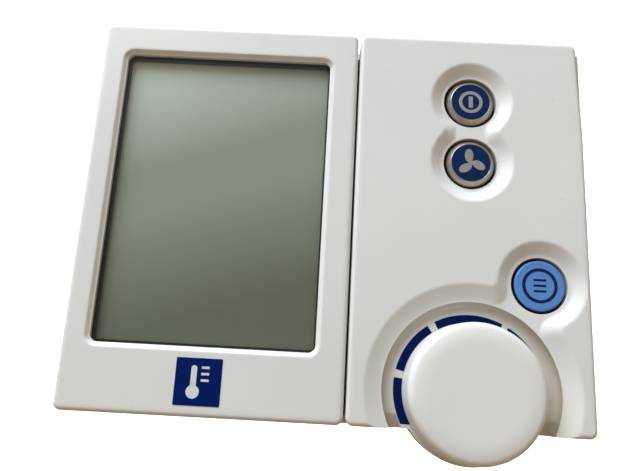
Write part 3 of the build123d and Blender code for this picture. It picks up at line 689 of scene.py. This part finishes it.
def cover_depth(x, z):
    """Depth of the control cover's front surface: dishes, necks and the dial's recess."""
    radius = dial_radius(x, z)
    if radius < RECESS - 0.01:
        return recess_depth(radius, z)
    pair = blend_low(math.dist((x, z), POWER), math.dist((x, z), FUNCTION), TWIN_BLEND) - BUTTON_FLOOR
    pair = blend_low(pair, to_segment(x, z, POWER, FUNCTION) - NECK_HALF, NECK_BLEND)
    single = math.dist((x, z), MODE) - MODE_FLOOR
    single = blend_low(single, to_segment(x, z, MODE, DIAL) - MODE_NECK_HALF, MODE_NECK_BLEND)
    around = (radius - RECESS) / (DIAL_DISH - RECESS)
    joined = blend_low(single / DISH_SLOPE_WIDTH, around, JOIN_BLEND)
    return DISH_DEPTH * eased(1 - min(pair / DISH_SLOPE_WIDTH, joined), DISH_SOFT)


COVER_CORNERS = [
    (cover_low.x, -HALF_HEIGHT),
    (cover_high.x, -HALF_HEIGHT),
    (cover_high.x, 27.0),
    (cover_high.x - 1.0, HALF_HEIGHT),
    (cover_low.x, HALF_HEIGHT),
]
BUTTONS = [(POWER, BUTTON_HOLE), (FUNCTION, BUTTON_HOLE), (MODE, MODE_HOLE)]


def near_dishes(x, z):
    """Whether the cover's mesh is fine here: round each button and over the dial's slopes."""
    if any(math.dist((x, z), centre) < 13.5 for centre, _ in BUTTONS):
        return True
    return 19.5 < dial_radius(x, z) < 30.0


def pod_shape():
    """The half-round support of the dial, which stands below the case."""
    reach = -HALF_HEIGHT - DIAL[1]
    edge, mid_edge, back_edge = 0.22, 0.06, 0.2
    loops = [(POD_RADIUS - edge, RECESS_FLOOR), (POD_RADIUS - mid_edge, RECESS_FLOOR + mid_edge),
             (POD_RADIUS, RECESS_FLOOR + edge), (POD_RADIUS, POD_FAR - back_edge),
             (POD_RADIUS - back_edge, POD_FAR), (POD_RADIUS - POD_WALL, POD_FAR),
             (POD_RADIUS - POD_WALL, RECESS_FLOOR_FAR)]
    steps = 72
    vertices, faces = [], []
    for radius, depth in loops:
        start = math.asin(reach / radius)
        for n in range(steps + 1):
            angle = start - (math.pi + 2 * start) * n / steps
            vertices.append((DIAL[0] + radius * math.cos(angle), FRONT + depth,
                             DIAL[1] + radius * math.sin(angle)))
    ring = steps + 1
    for k in range(len(loops) - 1):
        for n in range(ring):
            m = (n + 1) % ring
            faces.append((k * ring + n, k * ring + m, (k + 1) * ring + m, (k + 1) * ring + n))
    faces.append(tuple(range(ring)))
    faces.append(tuple(reversed(range((len(loops) - 1) * ring, len(loops) * ring))))
    return vertices, faces


def build_control_cover():
    holes = [circle(centre, radius, 96) for centre, radius in BUTTONS]
    holes.append(circle(DIAL, BUSHING_HOLE, 48))
    rings = []
    hole_edge_drop = 0.15
    for centre, radius in BUTTONS:
        for offset in (0.12, 0.4):
            rings.append(circle(centre, radius + offset, 96))
    for offset in (0.6, 0.15, 0.0, -0.04, -0.12, -0.3, -0.6, -1.0, -1.5, -2.0, -2.5):
        rings.append(circle(DIAL, RECESS + offset, 360))
    for offset in (0.02, -0.02):
        rings.append(circle(DIAL, SCALE_RADIUS + offset, 300))

    def depth_at(x, z):
        depth = cover_depth(x, z)
        if any(math.dist((x, z), centre) < radius + 0.05 for centre, radius in BUTTONS):
            depth += hole_edge_drop
        return depth

    def hole_back(x, z):
        return RECESS_FLOOR_FAR if dial_radius(x, z) < BUSHING_HOLE + 1 else HOLE_BACK

    cover = moulded_cover("control_cover_skin", COVER_CORNERS, holes, rings, near_dishes, depth_at,
                          hole_back, cover_white, pod_shape())
    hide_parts("control_cover")


def build_scale_arcs():
    """Printed arcs on the recess floor, a hair proud of it."""
    near, far = RECESS_FLOOR - INK_PROUD, RECESS_FLOOR + INK_DEPTH
    level = DIAL[1] - ARC_BOTTOM
    vertices, faces = [], []
    for start, end in ARC_SPANS:
        steps = 2 * (end - start)
        first = len(vertices)
        for n in range(steps + 1):
            angle = math.radians(start + (end - start) * n / steps)
            outer = ARC_OUTER
            if math.sin(angle) < 0:
                outer = max(ARC_INNER, min(ARC_OUTER, level / -math.sin(angle)))
            for depth in (near, far):
                for radius in (ARC_INNER, outer):
                    vertices.append((DIAL[0] + radius * math.cos(angle), FRONT + depth,
                                     DIAL[1] + radius * math.sin(angle)))
        for n in range(steps):
            a, b = first + 4 * n, first + 4 * (n + 1)
            for i, j in ((0, 1), (1, 3), (3, 2), (2, 0)):
                faces.append((a + i, a + j, b + j, b + i))
        last = first + 4 * steps
        faces.append((first, first + 1, first + 3, first + 2))
        faces.append((last, last + 1, last + 3, last + 2))
    arcs = add_piece("scale_print", vertices, faces, navy_ink, "housing")
    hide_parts("scale_arcs")


def build_display_bezel():
    corners = [(bezel_low.x, -HALF_HEIGHT), (bezel_high.x, -HALF_HEIGHT),
               (bezel_high.x, HALF_HEIGHT), (bezel_low.x, HALF_HEIGHT)]

    def around_window(grow):
        sides = rectangle((WINDOW_X, WINDOW_Z), WINDOW_WIDTH + 2 * grow, WINDOW_HEIGHT + 2 * grow)
        return rounded_loop(sides, WINDOW_CORNER + grow, 0, 1.2)

    steps = [WINDOW_BEVEL_WIDTH * k / 8 for k in range(1, 9)]
    rings = [around_window(grow) for grow in steps + [WINDOW_BEVEL_WIDTH + 0.5]]

    def depth_at(x, z):
        outside = max(abs(x - WINDOW_X) - WINDOW_WIDTH / 2 + WINDOW_CORNER, 0.0)
        above = max(abs(z - WINDOW_Z) - WINDOW_HEIGHT / 2 + WINDOW_CORNER, 0.0)
        gap = math.hypot(outside, above) - WINDOW_CORNER
        share = max(0.0, min(1.0, gap / WINDOW_BEVEL_WIDTH))
        return WINDOW_BEVEL_DEPTH * (1 - eased(share, 0.3))

    bezel = moulded_cover("display_bezel_skin", corners, [around_window(0)], rings,
                          lambda x, z: False, depth_at, lambda x, z: WINDOW_BACK, shell_white)
    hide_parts("display_bezel")


# ---------------------------------------------------------------- dial and caps


def build_knob():
    """The dial's cap: a flat top that falls gently before its tighter edge, and a drafted side."""
    low, high = node_box("dial_knob")
    face, base = low.y - FRONT, high.y - FRONT
    base_radius = (high.x - low.x) / 2
    side_radius = base_radius - 0.4
    flat, broad = 12.0, 20.0  # radius of the flat top, and of the gentle fall around it
    tight, turn = 2.09, 10.7  # radius of the edge, and where it takes over in degrees
    profile = [(0, face), (flat / 2, face)]
    profile += arc_points((flat, face + broad), broad, -90, -90 + turn, 6)
    hub_depth = profile[-1][1] + tight * math.cos(math.radians(turn))
    profile += arc_points((side_radius - tight, hub_depth), tight, -90 + turn, -2, 16)[1:]
    inside = face + KNOB_WALL
    profile += [(base_radius - 0.03, base - 0.45), (base_radius, base - 0.3),
                (base_radius - 0.04, base - 0.1), (base_radius - 0.2, base)]
    profile += [(base_radius - KNOB_WALL, base), (base_radius - KNOB_WALL - 0.4, inside),
                (HUB, inside), (HUB, HUB_BACK), (SHAFT, HUB_BACK), (SHAFT, SHAFT_TOP), (0, SHAFT_TOP)]
    knob = lathe("knob_body", DIAL, profile, knob_white, "dial", 192)
    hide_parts("dial_knob")


def build_cap(name, centre, node, body):
    """A button's cap: a thin raised rim around its inlay and a sloping shoulder."""
    low, high = node_box(node)
    top, stem = low.y - FRONT, high.y - FRONT
    flange = (high.x - low.x) / 2
    inner_edge, outer_edge = 0.1, 0.25
    floor = top + POCKET_DEPTH
    profile = [(0, floor), (CAP_POCKET, floor), (CAP_POCKET, top + 0.12)]
    profile += arc_points((CAP_POCKET + inner_edge, top + inner_edge), inner_edge, 180, 270, 4)
    profile += arc_points((CAP_RIM - outer_edge, top + outer_edge), outer_edge, -85, -35, 5)
    profile += [(CAP_BASE - 0.25, CAP_FOOT - 0.45), (CAP_BASE - 0.06, CAP_FOOT - 0.1),
                (CAP_BASE, CAP_FOOT + 0.3), (CAP_BASE, FLANGE_NEAR), (flange, FLANGE_NEAR),
                (flange, FLANGE_FAR), (CAP_BASE - CAP_WALL, FLANGE_FAR),
                (CAP_BASE - CAP_WALL, CAP_INSIDE), (STEM, CAP_INSIDE), (STEM, stem), (0, stem)]
    cap = lathe(name, centre, profile, silver_paint, body, 128)
    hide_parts(node)


build_control_cover()
build_display_bezel()
build_knob()
build_scale_arcs()
build_cap("power_cap", POWER, "power_button", "power_key")
build_cap("function_cap", FUNCTION, "function_button", "function_key")


# ---------------------------------------------------------------- floor, light and camera


def pale(name, colour):
    n = Nodes(name)
    base = n.ramp(n.noise(3.0, 3.0), 0.3, 0.7, shade(colour, 0.98), shade(colour, 1.02))
    return n.set(Base_Color=base, Roughness=0.9, Specular_IOR_Level=0.1)


def build_stage():
    """A pale floor well below the object, and a white backdrop that curves up far behind it."""
    half, level, start, far, bend = 14.0, -0.40, 1.6, 3.0, 1.2
    rows = [(start, level), (far - bend, level)]
    for k in range(1, 13):
        angle = math.pi / 2 * k / 12
        rows.append((far - bend + bend * math.sin(angle), level + bend * (1 - math.cos(angle))))
    rows.append((far, 9.0))
    for name, profile, colour in (("floor", [(-6.0, level), (start, level)], (0.80, 0.765, 0.71)),
                                  ("backdrop", rows, (0.90, 0.90, 0.90))):
        vertices = [(side * half, y, z) for y, z in profile for side in (-1, 1)]
        faces = [(2 * k, 2 * k + 1, 2 * k + 3, 2 * k + 2) for k in range(len(profile) - 1)]
        mesh = bpy.data.meshes.new(name)
        mesh.from_pydata(vertices, [], faces)
        mesh.shade_smooth()
        mesh.materials.append(pale(f"{name}_pale", colour))
        surface = bpy.data.objects.new(name, mesh)
        scene.collection.objects.link(surface)
        surface.visible_diffuse = False
        surface.visible_glossy = False


def add_light(name, place, target, size, power, colour):
    data = bpy.data.lights.new(name, "AREA")
    data.shape = "RECTANGLE"
    data.size, data.size_y = size
    data.energy = power
    data.color = colour
    light = bpy.data.objects.new(name, data)
    light.location = place
    light.rotation_euler = (Vector(target) - Vector(place)).to_track_quat("-Z", "Y").to_euler()
    scene.collection.objects.link(light)


def build_world():
    """A soft room: bright overhead, dim in front and warm below."""
    world = bpy.data.worlds.new("studio")
    world.use_nodes = True
    tree = world.node_tree
    background = tree.nodes["Background"]
    place = tree.nodes.new("ShaderNodeTexCoord")
    toward = tree.nodes.new("ShaderNodeVectorMath")
    toward.operation = "DOT_PRODUCT"
    toward.inputs[1].default_value = Vector((-0.35, 0.0, 0.94)).normalized()
    tree.links.new(place.outputs["Generated"], toward.inputs[0])
    share = tree.nodes.new("ShaderNodeMapRange")
    share.inputs["From Min"].default_value = -1.0
    tree.links.new(toward.outputs["Value"], share.inputs["Value"])
    ramp = tree.nodes.new("ShaderNodeValToRGB")
    stops = [(0.0, (0.36, 0.255, 0.14)), (0.45, (0.30, 0.24, 0.165)), (0.65, (0.29, 0.285, 0.275)),
             (1.0, (0.85, 0.93, 1.0))]
    for n, (position, colour) in enumerate(stops):
        element = ramp.color_ramp.elements[n] if n < 2 else ramp.color_ramp.elements.new(position)
        element.position = position
        element.color = (*colour, 1)
    tree.links.new(share.outputs["Result"], ramp.inputs["Fac"])
    tree.links.new(ramp.outputs["Color"], background.inputs["Color"])
    background.inputs["Strength"].default_value = 1.0
    scene.world = world


def build_lights():
    """A cool window at the upper left, a weak warm bounce from below, and light on the backdrop.

    Places, targets and sizes are in metres, and powers in watts.
    """
    add_light("window", (-0.47, -0.52, 0.94), (0, 0, 0), (0.8, 0.8), 17.9, (0.855, 0.938, 1.0))
    add_light("warm_fill", (0.15, -0.55, -0.75), (0, 0, 0), (0.7, 0.5), 3.0, (1.0, 0.70, 0.42))
    add_light("backdrop_wash", (0.0, 0.6, 1.5), (0.0, 3.0, 0.9), (3.0, 1.0), 130.0, (1.0, 1.0, 1.0))


def build_camera():
    """The camera just below the middle of the object, looking up at it and a little turned."""
    data = bpy.data.cameras.new("camera")
    data.sensor_width = 36.0
    data.lens = 33.70
    camera = bpy.data.objects.new("camera", data)
    tilt, pan, roll = math.radians(13.43), math.radians(0.847), math.radians(2.950)
    turned = Matrix.Rotation(math.radians(90), 4, "X")
    for angle, axis in ((tilt, "X"), (pan, "Y"), (roll, "Z")):
        turned = turned @ Matrix.Rotation(angle, 4, axis)
    right, distance, height = -1.01, 157.18, -43.77
    place = Vector((right, FRONT - distance, height)) * MM
    camera.matrix_world = Matrix.Translation(place) @ turned
    data.clip_start = 0.005
    scene.collection.objects.link(camera)
    scene.camera = camera


build_stage()
build_world()
build_lights()
build_camera()
scene.view_settings.view_transform = "Standard"
